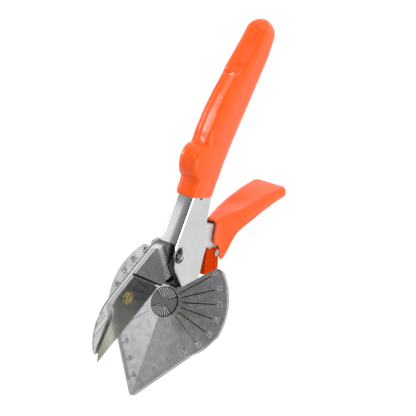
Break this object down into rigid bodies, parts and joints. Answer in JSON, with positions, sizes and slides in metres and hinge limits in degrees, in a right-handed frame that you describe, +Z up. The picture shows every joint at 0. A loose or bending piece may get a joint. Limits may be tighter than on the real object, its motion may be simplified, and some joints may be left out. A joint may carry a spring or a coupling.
{
  "type": "mitre shears",
  "caption": "Mitre shears: a folded steel lever with a ground blade closes on a heart-shaped protractor anvil, with orange dipped handles and a lock latch.",
  "frame": {"origin": "centre of the anvil disc's top face, on the ridge of the base", "axes": "+X along the tool towards the front tip, +Z up out of the anvil, +Y towards the side with the bolt's dome head"},
  "size_m": [0.2197, 0.074, 0.1345],
  "materials": {
    "plated_steel": "bright plated, slightly brushed",
    "orange_grip": "glossy dipped vinyl",
    "cast_alloy": "satin die casting",
    "steel_fastener": "bright zinc",
    "brass": "plain",
    "spring_steel": "drawn wire",
    "blade_steel": "ground",
    "orange_latch": "moulded"
  },
  "bodies": {
    "frame": {"upper_lever": "plated_steel", "upper_grip": "orange_grip", "base_casting": "cast_alloy", "anvil_disc": "cast_alloy", "anvil_screw": "steel_fastener", "base_rivets": "steel_fastener", "pivot_bolt": "steel_fastener", "pivot_nut": "steel_fastener", "pivot_washer": "steel_fastener", "pivot_bush": "brass", "return_spring": "spring_steel"},
    "blade_lever": {"blade_holder": "plated_steel", "blade": "blade_steel", "blade_screw": "brass", "blade_nut": "steel_fastener", "lower_lever": "plated_steel", "lower_grip": "orange_grip", "tang_rivets": "steel_fastener", "latch_pin": "steel_fastener"},
    "latch": {"lock_latch": "orange_latch"}
  },
  "joints": [
    {"name": "blade_pivot", "type": "hinge", "parent": "frame", "child": "blade_lever", "pos_m": [-0.0265, 0, 0.0104], "axis": [0, 1, 0], "range_deg": [0, 34], "stiffness_Nm_per_rad": 0.5, "springref_deg": -28.65, "deforming": ["return_spring"]},
    {"name": "latch_swing", "type": "hinge", "parent": "blade_lever", "child": "latch", "pos_m": [-0.03577, 0, -0.03031], "axis": [0, -1, 0], "range_deg": [0, 30]}
  ]
}
